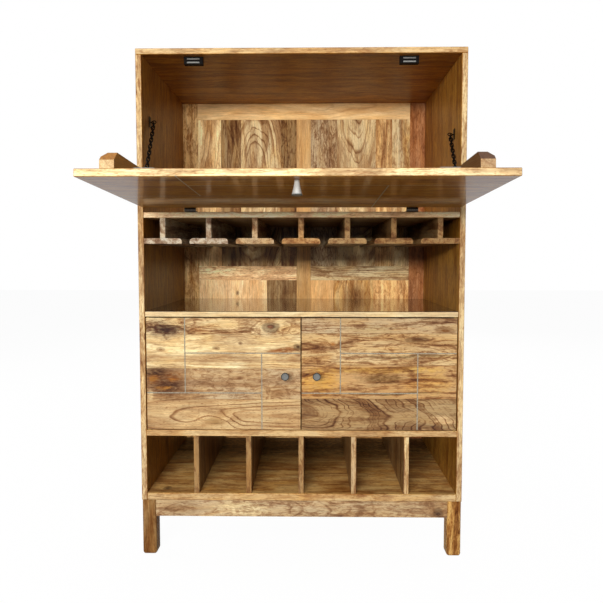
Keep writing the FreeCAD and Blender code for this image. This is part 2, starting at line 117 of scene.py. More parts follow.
def grain(tree, place, length, breadth, noise, output="Fac"):
    """Noise drawn out along the board: its grain has that length and breadth in mm."""
    drawn = (1 / length, 1 / breadth, 1 / breadth)
    drawn = add(tree, "VectorMath", {0: place, 1: drawn}, operation="MULTIPLY")
    return add(tree, "TexNoise", {"Vector": drawn, "Scale": 1.0, **noise}).outputs[output]


def plank_at(tree, level, planks, edges):
    """Look of the plank at a level of the board: planks lie edge to edge, from one of edges to the next."""
    reach = edges[-1] - edges[0]
    share = add(tree, "MapRange", {"Value": level, "From Min": edges[0], "From Max": edges[-1]})
    picked = {}
    for part in ("tint", "heart", "marks", "bend"):
        stops = [((edge - edges[0]) / reach, one[part]) for edge, one in zip(edges, planks)]
        picked[part] = add(tree, "ValToRGB", {"Fac": share}, stops)
        picked[part].color_ramp.interpolation = "CONSTANT"
    return picked


def spotted(tree, place, field, frayed, colour, spots):
    """Knots and stains, and spots of painted shade: ellipses with a frayed rim, given by place along and
    across, half length, half height, tone, strength and how far the rings part round them. A stain or a spot
    of painted shade, which parts nothing, is speckled and tints the wood under its figure. A knot has rings
    of its own and lies over the figure. Gives the tinted colour, the knots and how far the rings are lifted
    aside."""
    lift, knots = 0.0, []
    if not spots:
        return colour, knots, lift
    speck = grain(tree, field, 14, 5, {"Detail": 3.0, "Distortion": 0.6})
    speck = add(tree, "MapRange", {"Value": speck, "From Min": 0.36, "From Max": 0.56, "To Min": 0.55})
    for x, y, length, height, tone, strength, parting in spots:
        flat = add(tree, "Mapping", {"Vector": place, "Location": (-x / length, -y / height, 0),
                                     "Scale": (1 / length, 1 / height, 0)})
        away = add(tree, "VectorMath", {0: flat}, operation="LENGTH").outputs["Value"]
        fray, rim, pit = (0.7, 1.1, 0.5) if parting else (1.6, 1.3, 0.4)
        away = add(tree, "Math", {0: frayed, 1: fray, 2: away}, operation="MULTIPLY_ADD")
        away = add(tree, "Math", {0: away, 1: fray / 2}, operation="SUBTRACT")
        core = add(tree, "MapRange", {"Value": away, "From Min": rim, "From Max": pit, "To Max": strength},
                   interpolation_type="SMOOTHSTEP")
        if not parting:
            core = add(tree, "Math", {0: core, 1: speck}, operation="MULTIPLY")
            colour = add(tree, "Mix", {"Factor": core, 6: colour, 7: linear(tone)},
                         data_type="RGBA").outputs[2]
            continue
        rings = add(tree, "Math", {0: away, 1: 9.0}, operation="MULTIPLY")
        rings = add(tree, "Math", {0: rings}, operation="SINE")
        rings = add(tree, "Math", {0: rings, 1: 0.22, 2: 0.8}, operation="MULTIPLY_ADD")
        core = add(tree, "Math", {0: core, 1: rings}, operation="MULTIPLY")
        knots.append((core, linear(tone)))
        near = add(tree, "MapRange", {"Value": away, "From Min": 2.8, "From Max": 0.0},
                   interpolation_type="SMOOTHSTEP")
        lift = add(tree, "Math", {0: near, 1: parting, 2: lift}, operation="MULTIPLY_ADD")
    return colour, knots, lift


def growth_rings(tree, place, picked, heart, lift, seed):
    """Fine lines and broad bands that follow the distance from the heart line, counted in years. The line
    leans through the plank, and the years are of uneven width."""
    drift = add(tree, "SeparateColor", {0: picked["heart"]}).outputs["Blue"]
    lean = add(tree, "CombineXYZ", {"X": 0.5, "Y": drift, "Z": picked["heart"].outputs["Alpha"]})
    lean = add(tree, "VectorMath", {0: lean, 1: (0.5, 0.5, 0.5)}, operation="SUBTRACT")
    off = add(tree, "VectorMath", {0: place, 1: heart}, operation="SUBTRACT")
    run = add(tree, "SeparateXYZ", {0: off}).outputs["X"]
    rise = add(tree, "VectorMath", {0: lean, "Scale": run}, operation="SCALE")
    round_heart = add(tree, "VectorMath", {0: off, 1: (0, 1, 1), 2: rise}, operation="MULTIPLY_ADD")
    radius = add(tree, "VectorMath", {0: round_heart}, operation="LENGTH").outputs["Value"]
    radius = add(tree, "Math", {0: radius, 1: lift}, operation="ADD")
    apart = add(tree, "Math", {0: picked["bend"].outputs["Alpha"], 1: bend_span}, operation="MULTIPLY")
    years = add(tree, "Math", {0: radius, 1: apart}, operation="DIVIDE")
    slow = add(tree, "Math", {0: years, 1: 0.45, 2: seed * 29}, operation="MULTIPLY_ADD")
    uneven = add(tree, "TexNoise", {"W": slow, "Scale": 1.0, "Detail": 1.0}, noise_dimensions="1D")
    cycle = add(tree, "Math", {0: uneven, 1: 2.5, 2: years}, operation="MULTIPLY_ADD")
    cycle = add(tree, "Math", {0: cycle}, operation="FRACT")
    early, spring, summer, late = (linear(code) for code in ("#3c3c3c", "#000000", "#404040", "#ffffff"))
    lines = add(tree, "ValToRGB", {"Fac": cycle}, [(0.0, early), (0.25, spring), (0.68, summer), (0.9, late),
                                                   (1.0, early)])
    slow = add(tree, "Math", {0: years, 1: 0.34, 2: seed * 17}, operation="MULTIPLY_ADD")
    bands = add(tree, "TexNoise", {"W": slow, "Scale": 1.0, "Detail": 3.0, "Roughness": 0.6},
                noise_dimensions="1D")
    bands = add(tree, "MapRange", {"Value": bands, "From Min": 0.42, "From Max": 0.68, "To Min": -0.3,
                                   "To Max": 0.7})
    return lines, bands


def figure_of(tree, field, bent, short, picked, lines, bands, pore):
    """Depth of the figure: clouds, long streaks, dashes, mottling and pores beside the ring lines and bands,
    each as strong as the plank's look says. Lines and dashes show in patches. Gives the depth, and clouds
    of warmer wood."""
    marks = add(tree, "SeparateColor", {0: picked["marks"]})
    bend = add(tree, "SeparateColor", {0: picked["bend"]})
    cloud = grain(tree, bent, 140, 34, {"Detail": 2.0, "Distortion": 0.8}, "Color")
    cloud = add(tree, "MapRange", {6: cloud, 7: (0.34, 0.34, 0.34), 8: (0.7, 0.7, 0.7), 9: (0, -0.45, 0),
                                   10: (1, 0.55, 1)}, data_type="FLOAT_VECTOR").outputs[1]
    cloud = add(tree, "VectorMath", {0: cloud, "Scale": bend.outputs["Red"]}, operation="SCALE")
    cloud = add(tree, "SeparateXYZ", {0: cloud})
    streak = grain(tree, bent, 330, 17, {"Detail": 4.0, "Roughness": 0.8})
    streak = add(tree, "MapRange", {"Value": streak, "From Min": 0.42, "From Max": 0.68, "To Min": -0.3,
                                    "To Max": 0.7})
    dashes = grain(tree, bent, 60, 4, {"Detail": 2.0})
    dashes = add(tree, "MapRange", {"Value": dashes, "From Min": 0.56, "From Max": 0.7, "To Max": 0.8})
    mottle = add(tree, "MapRange", {"Value": short, "From Min": 0.44, "From Max": 0.66, "To Min": -0.3,
                                    "To Max": 0.7})
    patch = grain(tree, field, 260, 60, {"Detail": 1.0})
    patch = add(tree, "MapRange", {"Value": patch, "From Min": 0.34, "From Max": 0.6, "To Min": 0.15})
    depth = -0.05
    for amount, weight, strengths in ((cloud.outputs["Y"], 0.7, ()),
                                      (streak, 0.9, (marks.outputs["Red"],)),
                                      (bands, 0.7, (marks.outputs["Green"],)),
                                      (mottle, 0.8, (picked["marks"].outputs["Alpha"],)),
                                      (dashes, 0.9, (patch, bend.outputs["Green"])),
                                      (lines, 1.1, (patch, marks.outputs["Blue"])),
                                      (pore, 0.5, ())):
        for strength in strengths:
            amount = add(tree, "Math", {0: amount, 1: strength}, operation="MULTIPLY")
        depth = add(tree, "Math", {0: amount, 1: weight, 2: depth}, operation="MULTIPLY_ADD")
    for strength in (picked["tint"].outputs["Alpha"], figure_span):
        depth = add(tree, "Math", {0: depth, 1: strength}, operation="MULTIPLY")
    depth = add(tree, "Math", {0: depth, 1: -0.3}, operation="MAXIMUM")
    return depth, cloud.outputs["X"]


def glued(tree, level, seams, colour):
    """Colour with hairline glue seams between the planks."""
    for edge in seams:
        apart = add(tree, "Math", {0: level, 1: edge}, operation="SUBTRACT")
        apart = add(tree, "Math", {0: apart}, operation="ABSOLUTE")
        seam = add(tree, "MapRange", {"Value": apart, "From Min": 1.3, "From Max": 0.4, "To Max": 0.35})
        colour = add(tree, "Mix", {"Factor": seam, 6: colour, 7: linear("#4a2f1a")},
                     data_type="RGBA").outputs[2]
    return colour


def mango(name, planks, along, across, centre, edges=None, painted_face_light=(), spots=(), gloss=0.4, coat=0.05,
          ior=1.35, seed=0.0):
    """Lacquered mango wood: honey to brown, with broad wavy bands, fine dark ring lines, knots and short
    pores under a satin gloss. Growth rings lie round the heart line, which slopes through the plank and so
    draws arches on its face; noise bends them. edges are the levels at which planks are glued edge to edge.
    The faces given last, each by the way it looks and its tone, are painted light: a paler front edge or
    outer face stands in for light falling on it, against a board tone darkened as painted shade on its faces
    inside."""
    material, tree, output = new_material(name)
    turn = Matrix((along, across, along.cross(across)))
    middle = turn @ Vector(centre) / MM
    place = add(tree, "TexCoord")
    board = add(tree, "Mapping", {"Vector": place.outputs["Object"], "Scale": (1 / MM, 1 / MM, 1 / MM),
                                  "Location": -middle, "Rotation": turn.to_euler()})
    level = add(tree, "SeparateXYZ", {0: board}).outputs["Y"]
    seams = edges[1:-1] if edges else ()
    if not edges:
        edges, planks = (-heart_span / 2, 0, heart_span / 2), planks * 2
    picked = plank_at(tree, level, planks, edges)
    warp = add(tree, "SeparateColor", {0: picked["bend"]}).outputs["Blue"]
    heart = add(tree, "VectorMath", {0: picked["heart"], 1: (heart_span, heart_span, 0),
                                     2: (-heart_span / 2, -heart_span / 2, 0)}, operation="MULTIPLY_ADD")
    # Each plank is cut from another place of the noise
    chance = add(tree, "TexWhiteNoise", {"Vector": heart}, noise_dimensions="3D").outputs["Color"]
    shift = add(tree, "VectorMath", {0: chance, 1: (3000, 300, 300), 2: (seed * 731, seed * 137, 0)},
                operation="MULTIPLY_ADD")
    field = add(tree, "VectorMath", {0: board, 1: shift}, operation="ADD")
    # Waves that bend the rings
    wave = grain(tree, field, 190, 50, {"Detail": 2.0, "Roughness": 0.45}, "Color")
    sway = add(tree, "VectorMath", {0: wave, 1: (0, 2 * bend_span, 2 * bend_span),
                                    2: (0, -bend_span, -bend_span)}, operation="MULTIPLY_ADD")
    sway = add(tree, "VectorMath", {0: sway, "Scale": warp}, operation="SCALE")
    swayed = add(tree, "VectorMath", {0: board, 1: sway}, operation="ADD")
    # Tone of the plank, faces toned as painted light and shade, knots, stains and rings
    colour = picked["tint"].outputs["Color"]
    for way, tone in painted_face_light:
        facing = add(tree, "VectorMath", {0: place.outputs["Normal"], 1: way}, operation="DOT_PRODUCT")
        facing = add(tree, "MapRange", {"Value": facing.outputs["Value"], "From Min": 0.75,
                                        "From Max": 0.95})
        colour = add(tree, "Mix", {"Factor": facing, 6: colour, 7: linear(tones[tone])},
                     data_type="RGBA").outputs[2]
    short = grain(tree, field, 30, 14, {"Detail": 4.0, "Roughness": 0.7, "Distortion": 1.2})
    colour, knots, lift = spotted(tree, swayed, field, short, colour, spots)
    lines, bands = growth_rings(tree, swayed, picked, heart, lift, seed)
    # Clouds, streaks and dashes follow the waves and bow round knots, but fibres and pores run straight
    bent = add(tree, "VectorMath", {0: field, 1: sway}, operation="ADD")
    if spots:
        bow = add(tree, "CombineXYZ", {"Y": lift})
        bent = add(tree, "VectorMath", {0: bent, 1: bow}, operation="ADD")
    fibre = grain(tree, field, 45, 1.8, {"Detail": 2.0})
    pore = grain(tree, field, 9, 1.4, {"Detail": 0.0})
    pore = add(tree, "MapRange", {"Value": pore, "From Min": 0.62, "From Max": 0.74, "To Max": 0.55})
    depth, warm = figure_of(tree, field, bent, short, picked, lines, bands, pore)
    # Warm clouds yellow the wood, and it turns browner as the figure deepens
    brown = add(tree, "Gamma", {"Color": linear("#a48979"), "Gamma": depth})
    for amount, shade in ((warm, linear("#f8e0b8")), (1.0, brown)):
        colour = add(tree, "Mix", {"Factor": amount, 6: colour, 7: shade}, data_type="RGBA",
                     blend_type="MULTIPLY").outputs[2]
    for core, tone in knots:
        colour = add(tree, "Mix", {"Factor": core, 6: colour, 7: tone}, data_type="RGBA").outputs[2]
    sheen = add(tree, "MapRange", {"Value": fibre, "From Min": 0.3, "From Max": 0.7, "To Min": 0.78,
                                   "To Max": 1.22})
    colour = add(tree, "VectorMath", {0: colour, "Scale": sheen}, operation="SCALE")
    colour = add(tree, "VectorMath", {0: colour, 1: linear("#f9f3e7")[:3]}, operation="MINIMUM")
    colour = glued(tree, level, seams, colour)
    rough = add(tree, "MapRange", {"Value": fibre, "From Min": 0.3, "From Max": 0.7, "To Min": gloss - 0.06,
                                   "To Max": gloss + 0.1})
    height = add(tree, "Math", {0: fibre, 1: pore}, operation="SUBTRACT")
    bump = add(tree, "Bump", {"Height": height, "Strength": 0.12, "Distance": 0.3 * MM})
    surface = add(tree, "BsdfPrincipled", {"Base Color": colour, "Roughness": rough, "IOR": ior,
                                           "Normal": bump, "Coat Weight": coat, "Coat Roughness": 0.08})
    tree.links.new(surface.outputs[0], output.inputs["Surface"])
    return material


def metal(name, light, dark, roughness, grit, metallic=1.0, patina_shade_and_reflection=None, specular=0.5):
    """Metal or moulded plastic whose tone and gloss vary with a fine grit, in millimetres; a patina, with
    painted shade and painted dark reflection, covers it as far as the piece's attribute of that name says."""
    material, tree, output = new_material(name)
    place = add(tree, "TexCoord").outputs["Object"]
    speckle = add(tree, "TexNoise", {"Vector": place, "Scale": 1 / (grit * MM), "Detail": 3.0})
    colour = add(tree, "ValToRGB", {"Fac": speckle}, [(0.3, linear(dark)), (0.7, linear(light))])
    if patina_shade_and_reflection:
        cover = add(tree, "Attribute", attribute_name="patina_shade_and_reflection").outputs["Fac"]
        colour = add(tree, "Mix", {"Factor": cover, 6: colour, 7: linear(patina_shade_and_reflection)},
                     data_type="RGBA").outputs[2]
    rough = add(tree, "MapRange", {"Value": speckle, "From Min": 0.3, "From Max": 0.7,
                                   "To Min": roughness + 0.08, "To Max": roughness - 0.08})
    bump = add(tree, "Bump", {"Height": speckle, "Strength": 0.1, "Distance": 0.2 * MM})
    surface = add(tree, "BsdfPrincipled", {"Base Color": colour, "Roughness": rough, "Metallic": metallic,
                                           "Specular IOR Level": specular, "Normal": bump})
    tree.links.new(surface.outputs[0], output.inputs["Surface"])
    return material


def dress(node, material):
    """Gives a solid its finish."""
    mesh = nodes[node].data
    mesh.materials.clear()
    mesh.materials.append(material)


def centre_of(node):
    """Middle of a solid's box."""
    low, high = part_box(node)
    return (low + high) / 2


def skin(name, points, material, body, replaced, capped=True, smooth=True):
    """Piece made of stacks of rings: points[stack, row, place] on closed rings, joined row to row. Rows are
    closed at both ends by a flat face, or the last row joins the first."""
    stacks, rows, around = points.shape[:3]
    index = np.arange(stacks * rows * around).reshape(stacks, rows, around)
    beside = np.roll(index, -1, axis=2)
    lower, upper = slice(None), np.roll(np.arange(rows), -1)
    if capped:
        lower, upper = slice(0, -1), slice(1, None)
    quads = np.stack((index[:, lower], index[:, upper], beside[:, upper], beside[:, lower]), axis=-1)
    faces = quads.reshape(-1, 4).tolist()
    if capped:
        faces += index[:, 0].tolist() + index[:, -1, ::-1].tolist()
    mesh = bpy.data.meshes.new(name)
    mesh.from_pydata(points.reshape(-1, 3).tolist(), [], faces)
    mesh.materials.append(material)
    mesh.polygons.foreach_set("use_smooth", np.full(len(mesh.polygons), smooth))
    piece = bpy.data.objects.new(name, mesh)
    bpy.context.scene.collection.objects.link(piece)
    if body:
        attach(piece, body)
    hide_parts(*replaced)
    return piece


def eased_board(name, x_span, z_span, material, node, ease=0.8):
    """Board of the back with rounded arrises: a rectangle with quarter-circle corners of radius ease,
    carried through the board's thickness and drawn in along a quarter circle at both faces."""
    low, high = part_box(node)
    corner = np.repeat(np.array([(1, 1), (-1, 1), (-1, -1), (1, -1)]), 4, axis=0)
    swing = (np.arange(4)[:, None] * np.pi / 2 + np.linspace(0, np.pi / 2, 4)).ravel()
    middle = np.array([(x_span[0] + x_span[1]) / 2, (z_span[0] + z_span[1]) / 2])
    half = np.array([(x_span[1] - x_span[0]) / 2, (z_span[1] - z_span[0]) / 2])
    draw = np.linspace(0, np.pi / 2, 4)
    inset = ease * (1 - np.sin(np.append(draw, draw[::-1])))
    thick = (high.y - low.y) / MM
    depth = np.append(ease * (1 - np.cos(draw)), thick - ease * (1 - np.cos(draw[::-1])))
    flat = middle + corner * (half - ease) + 0 * inset[:, None, None]
    flat = flat + (ease - inset)[:, None, None] * np.stack((np.cos(swing), np.sin(swing)), axis=-1)
    deep = np.broadcast_to(low.y / MM + depth[:, None], flat.shape[:2])
    points = np.stack((flat[..., 0], deep, flat[..., 1]), axis=-1) * MM
    return skin(name, points[None], material, "carcass", [node], smooth=False)


# Fittings
# Blackened iron: near black, a dull sheen on the rounds of chains and hinges
black_iron = metal("blackened_iron", "#2a2725", "#0e0d0d", 0.42, 1.5)
# Nickel: bright on the stem; its face is greyed as a painted dark reflection, and its rim is darkest with
# patina and painted shade
knob_nickel = metal("dull_nickel", "#e4e4de", "#c4c4be", 0.32, 1.2, 0.55, "#3a3c3a")
# Steel of the hinges: dark grey, with worn rounds that catch the light
hinge_steel = metal("aged_steel", "#544e48", "#221f1c", 0.4, 1.5)
# Pewter strip sanded flush with the wood: flat grey, hardly any shine
pewter = metal("pewter_strip", "#b2aa98", "#8a8270", 0.45, 4.0, 0.85)
# Zinc-plated steel: light grey, soft spangle
zinc = metal("zinc_plated_steel", "#b9b8b2", "#85847f", 0.4, 1.5)
# Moulded nylon: black, faint grain
moulded = metal("moulded_nylon", "#161413", "#0a0909", 0.6, 1.0, 0.0, specular=0.1)
# Turned brass: warm yellow, only seen in the gaps above and below the doors
brass = metal("turned_brass", "#c9a45a", "#9a7a3e", 0.35, 1.5)

for finish, dressed in ((hinge_steel, ("deck_hinge_leaves", "deck_hinge_screws", "flap_hinge_leaves",
                                       "flap_hinge_screws", "flap_hinge_pins")),
                        (black_iron, ("stay_side_eyes", "stay_flap_eyes")),
                        (pewter, ("flap_inlay", "left_door_inlay", "right_door_inlay")),
                        (zinc, ("catch_plates", "flap_strikes", "left_door_strike", "right_door_strike",
                                "left_door_pivots", "right_door_pivots")),
                        (moulded, ("catch_housings",)),
                        (brass, ("door_pivot_bushes",))):
    for node in dressed:
        dress(node, finish)

# Tones of mango wood, from pale sapwood to the dark wood near the heart, and the serving shelf's stain;
# russet
# # is painted shade, darker than the wood it dresses
tones = {"ivory": "#f2d6b0", "cream": "#f0c894", "straw": "#e4c08a", "amber": "#e0ae72", "wheat": "#ccb488",
         "sand": "#bca076", "honey": "#c49c68", "tan": "#ae8e64", "ochre": "#ae8650", "drab": "#a28664",
         "ash": "#a69682", "hazel": "#a07a50", "walnut": "#8c6e4a", "umber": "#80603c",
         "russet": "#946526", "rust": "#9a6844", "bog": "#503218", "stain": "#2a1a0e"}
dark_knot, brown_knot = "#2e1810", "#5e3a20"


def boards(woods, along, across, look=None, **finish):
    """Dresses solids that are one board each, with the same kind of grain. woods gives each board's tone,
    the depth of its figure and, where they are paler, the tone of its front edge and of its outer face.
    These paler tones are painted light, beside a board tone darkened as painted shade for the faces inside."""
    outward = {"left_side": -X, "right_side": X, "top_panel": Z}
    for name, (tone, figure, *painted_face_tones) in woods.items():
        painted_face_light = list(zip((-Y, outward.get(name)), painted_face_tones))
        dress(name, mango(name, [plank(tone, figure, **(look or {}))], along, across, centre_of(name),
                          painted_face_light=painted_face_light, seed=len(bpy.data.materials), **finish))


# Carcass: the sides and top take the russet tone, darker than their wood, as painted shade for their inner
# faces
boards({"left_side": ("russet", 1.5, "sand", "ochre"), "right_side": ("russet", 1.5, "sand", "ochre")}, Z, Y,
       {"heart": (-900, 130), "streak": 0.4, "bands": 0.3, "lines": 0.15, "mottle": 0.35, "clouds": 0.45,
        "dashes": 0.9, "warp": 22})
boards({"top_panel": ("russet", 1.5, "tan", "ochre"), "rack_deck": ("tan", 1.2, "ivory"),
        "lower_shelf": ("honey", 1.2, "tan")}, X, Y,
       {"heart": (-1200, 150), "streak": 0.4, "bands": 0.35, "lines": 0.1, "clouds": 0.6, "warp": 26})
# Painted shade: the floor of the bottle cells is darkened towards the back by a broad dark spot
boards({"bottom_board": ("ochre", 1.2, "tan")}, X, Y,
       {"heart": (-1200, 150), "streak": 0.4, "lines": 0.1, "mottle": 0.4, "clouds": 0.9, "warp": 20},
       spots=((0, 210, 1500, 200, "#2e1a0c", 0.95, 0), (-385, -195, 14, 10, dark_knot, 0.8, 8),
              (130, -165, 60, 35, "#6a3c18", 0.6, 0)))
# The serving shelf is polished until the back shows in it
boards({"middle_shelf": ("stain", 0.5, "wheat")}, X, Y, {"heart": (-1200, 150), "streak": 0.5},
       gloss=0.3, coat=1.0)
# Glass rack, bottle cells and base
hanger_tones = ("ash", "ash", "drab", "hazel", "walnut", "umber", "umber")
boards({"glass_hanger_%d" % place: (tone, 2.0) for place, tone in enumerate(hanger_tones, 1)}, Y, X,
       {"heart": (-900, 30), "slope": 0.07, "mottle": 0.5, "lines": 0.2})
divider_edges = ("umber", "umber", "walnut", "drab", "wheat")
boards({"bottle_divider_%d" % place: ("umber", 1.6, edge) for place, edge in enumerate(divider_edges, 1)},
       Z, Y, {"heart": (-900, 60), "streak": 0.6, "clouds": 0.9, "mottle": 0.4})
boards({"front_left_leg": ("umber", 0.9), "front_right_leg": ("ochre", 2.0),
        "back_left_leg": ("ochre", 1.2), "back_right_leg": ("honey", 1.2)}, Z, X,
       {"heart": (-900, 30), "slope": 0.04, "streak": 0.8, "mottle": 0.4, "clouds": 0.8},
       gloss=0.55, coat=0.0, ior=1.2)
boards({"front_apron": ("drab", 1.5)}, X, Z,
       {"heart": (-160, -10), "slope": 0.25, "streak": 0.25, "bands": 0.3, "mottle": 0.5, "clouds": 0.6,
        "dashes": 0.4, "warp": 18, "spacing": 14},
       spots=((-165, 0, 75, 26, "#cdb486", 0.6, 0), (-330, 5, 60, 25, "#7c5c3c", 0.6, 0),
              (385, -8, 16, 12, dark_knot, 0.85, 10)))
boards({"back_apron": ("amber", 1.2)}, X, Z, {"heart": (-200, 5), "slope": 0.12})
boards({name: ("amber", 1.2) for name in ("left_apron", "right_apron", "base_glue_blocks")}, Y, Z,
       {"heart": (-200, 5), "slope": 0.12})
# Flap and its battens: the flap's russet tone is darker than its wood, as painted shade for its underside
# when open
boards({"flap_panel": ("russet", 1.5, "wheat")}, X, Y,
       {"heart": (-1200, 120), "streak": 0.4, "bands": 0.4, "lines": 0.15, "clouds": 0.4, "warp": 20},
       gloss=0.45, coat=0.42, ior=1.25)
boards({"left_batten": ("russet", 0.5, "sand"), "right_batten": ("bog", 0.5, "drab")}, Y, X,
       {"heart": (-900, 30), "slope": 0.05})

# Patchwork back, in mm: a frame of stiles and rails round staves of mixed wood
back_low, back_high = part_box("back_frame")
half_width, foot, head = (round(length / MM) for length in (back_high.x, back_low.z, back_high.z))
stile_width, rail_width, centre_width = 54, 57, 51
bay, post = half_width - stile_width, centre_width / 2
low_rail, top_rail = foot + rail_width, head - rail_width
rail_foot = round(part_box("back_lower_staves")[1].z / MM)
rail_head = round(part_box("back_upper_staves")[0].z / MM)
frame_boards = (
    ("back_left_stile", (-half_width, -bay), (foot, head), Z,
     {"tone": "honey", "lines": 0.2, "mottle": 0.8, "clouds": 0.8}),
    ("back_right_stile", (bay, half_width), (foot, head), Z,
     {"tone": "rust", "figure": 0.8, "lines": 0.2, "mottle": 0.8, "clouds": 0.8}),
    ("back_top_rail", (-bay, bay), (top_rail, head), X,
     {"tone": "straw", "figure": 0.5, "heart": (-300, 40), "slope": 0.08, "streak": 0.2, "bands": 0.2,
      "lines": 0.45, "mottle": 0.1, "dashes": 0.2, "warp": 20, "spacing": 22}),
    ("back_bottom_rail", (-bay, bay), (foot, low_rail), X, {"tone": "amber"}),
    ("back_centre_stile", (-post, post), (low_rail, top_rail), Z,
     {"tone": "honey", "figure": 0.5, "bands": 0.3, "lines": 0.15}),
    ("back_left_middle_rail", (-bay, -post), (rail_foot, rail_head), X,
     {"tone": "cream", "figure": 2.2, "heart": (-250, 20), "slope": 0.1, "streak": 0.25, "bands": 0.2,
      "mottle": 0.2, "clouds": 0.3, "dashes": 0.2, "spacing": 18}),
    ("back_right_middle_rail", (post, bay), (rail_foot, rail_head), X,
     {"tone": "sand", "figure": 2.2, "heart": (100, 60), "slope": 0.12, "streak": 0.3, "bands": 0.3,
      "lines": 0.5, "dashes": 0.3, "spacing": 14}),
)
upper_joints = ((-bay, -297, -226, -81, -post), (post, 118.5, 258.5, 316.5, bay))
upper_looks = (
    {"tone": "straw", "figure": 1.3, "slope": 0.1, "streak": 0.25, "lines": 0.5, "dashes": 0.4, "warp": 18,
     "spacing": 16},
    {"tone": "walnut", "figure": 1.7, "drift": 0.3, "streak": 1.0, "lines": 0.15, "clouds": 0.9},
    {"tone": "sand", "figure": 2.2, "heart": (20, -20), "slope": 0.3, "streak": 0.2, "bands": 0.35,
     "lines": 0.4, "mottle": 0.1, "clouds": 0.7, "dashes": 0.2, "spacing": 13},
    {"tone": "umber", "figure": 1.8, "lines": 0.1, "mottle": 0.7},
    {"tone": "drab", "figure": 1.3, "drift": 0.2, "mottle": 1.0, "warp": 24},
    {"tone": "sand", "figure": 1.8, "heart": (330, 0), "slope": 0.25, "streak": 0.2, "bands": 0.5,
     "lines": 0.4, "mottle": 0.1, "dashes": 0.2, "spacing": 11},
    {"tone": "honey", "figure": 2.0, "bands": 0.3, "lines": 0.2, "dashes": 0.3},
    {"tone": "sand", "figure": 1.1, "streak": 0.3, "lines": 0.15, "mottle": 0.6, "clouds": 1.0},
)
lower_joints = ((-bay, -133, -post), (post, 108.5, 253.5, bay))
lower_looks = (
    {"tone": "cream", "figure": 0.6, "streak": 0.2, "bands": 0.2, "lines": 0.15, "mottle": 0.4},
    {"tone": "walnut", "lines": 0.15, "mottle": 0.4},
    {"tone": "amber", "figure": 0.5, "streak": 0.25, "bands": 0.3, "lines": 0.15, "mottle": 0.4},
    {"tone": "honey", "figure": 1.0, "slope": 0.1, "mottle": 0.8, "clouds": 0.9, "warp": 24},
    {"tone": "amber", "figure": 1.4, "streak": 0.25, "bands": 0.2, "lines": 0.15, "mottle": 0.5},
)
back_spots = {"back_low_stave_1": ((226, 19, 10, 8, dark_knot, 0.85, 8),),
              "back_low_stave_4": ((200, 10, 55, 45, "#5e3a1e", 0.7, 0),)}

back_boards = [(name, "back_frame", *rest) for name, *rest in frame_boards]
for title, node, bays, z_span, looks in (
        ("back_stave_%d", "back_upper_staves", upper_joints, (rail_head, top_rail), upper_looks),
        ("back_low_stave_%d", "back_lower_staves", lower_joints, (low_rail, rail_foot), lower_looks)):
    spans = [span for bay_joints in bays for span in zip(bay_joints, bay_joints[1:])]
    for number, (x_span, look) in enumerate(zip(spans, looks), 1):
        back_boards.append((title % number, node, x_span, z_span, Z, look))
for seed, (name, node, x_span, z_span, along, look) in enumerate(back_boards, 50):
    middle = Vector((sum(x_span) / 2 * MM, centre_of(node).y, sum(z_span) / 2 * MM))
    wood = mango(name, [plank(**look)], along, Z if along is X else X, middle,
                 spots=back_spots.get(name, ()), gloss=0.45, seed=seed)
    eased_board(name, x_span, z_span, wood, node)

# Doors: four planks each, laid level and glued edge to edge, listed from the lowest up
half_door = 157
left_edges = (-half_door, -70.3, 15.6, 110.8, half_door)
left_looks = ({"tone": "tan", "figure": 1.9, "heart": (300, -118), "slope": 0.11, "streak": 0.15,
               "bands": 0.2, "lines": 0.7, "mottle": 0.1, "clouds": 0.3, "dashes": 0.1, "warp": 6,
               "spacing": 12},
              {"tone": "drab", "figure": 0.9, "slope": 0.05, "streak": 0.3, "lines": 0.2, "mottle": 1.0,
               "dashes": 0.3, "warp": 24},
              {"tone": "wheat", "figure": 1.0, "heart": (-640, 150), "slope": 0.05, "streak": 0.45,
               "bands": 0.3, "mottle": 0.2, "clouds": 0.65, "dashes": 0.5, "warp": 22},
              {"tone": "sand", "figure": 2.2, "heart": (-640, 150), "slope": 0.05, "bands": 0.3,
               "mottle": 0.3, "clouds": 0.65, "dashes": 0.5, "warp": 22})
left_spots = ((-168, 128, 70, 26, "#4e2a18", 1.0, 0), (-160, 129, 40, 18, dark_knot, 1.0, 22),
              (-73, 126, 32, 12, "#a07448", 0.8, 0), (133, 128, 27, 15, "#3c2014", 1.0, 24),
              (131, 127, 10, 5, "#9c6848", 0.6, 1), (-175, 71, 14, 8, "#7c5a38", 0.9, 10),
              (-20, 72, 12, 7, "#6e4a2a", 0.9, 8), (48, 92, 7, 5, brown_knot, 0.9, 6),
              (165, 68, 46, 10, "#8a5426", 0.95, 0), (208, 74, 16, 12, "#3e2410", 1.0, 8),
              (-165, -25, 74, 48, "#6a3e1a", 0.95, 0), (-190, -2, 36, 20, "#3e2412", 1.0, 0),
              (-155, -38, 46, 22, "#462814", 1.0, 0), (-196, -18, 18, 8, "#966026", 0.6, 0),
              (-168, -42, 22, 8, "#a06a2c", 0.6, 0), (-142, -20, 16, 7, "#966026", 0.6, 0),
              (-205, -62, 8, 12, "#c8b088", 0.9, 0), (-24, -134, 30, 14, "#967448", 0.9, 20),
              (-22, -137, 9, 5, "#6e4e2c", 0.9, 0))
right_edges = (-half_door, -68.7, 26, 114.3, half_door)
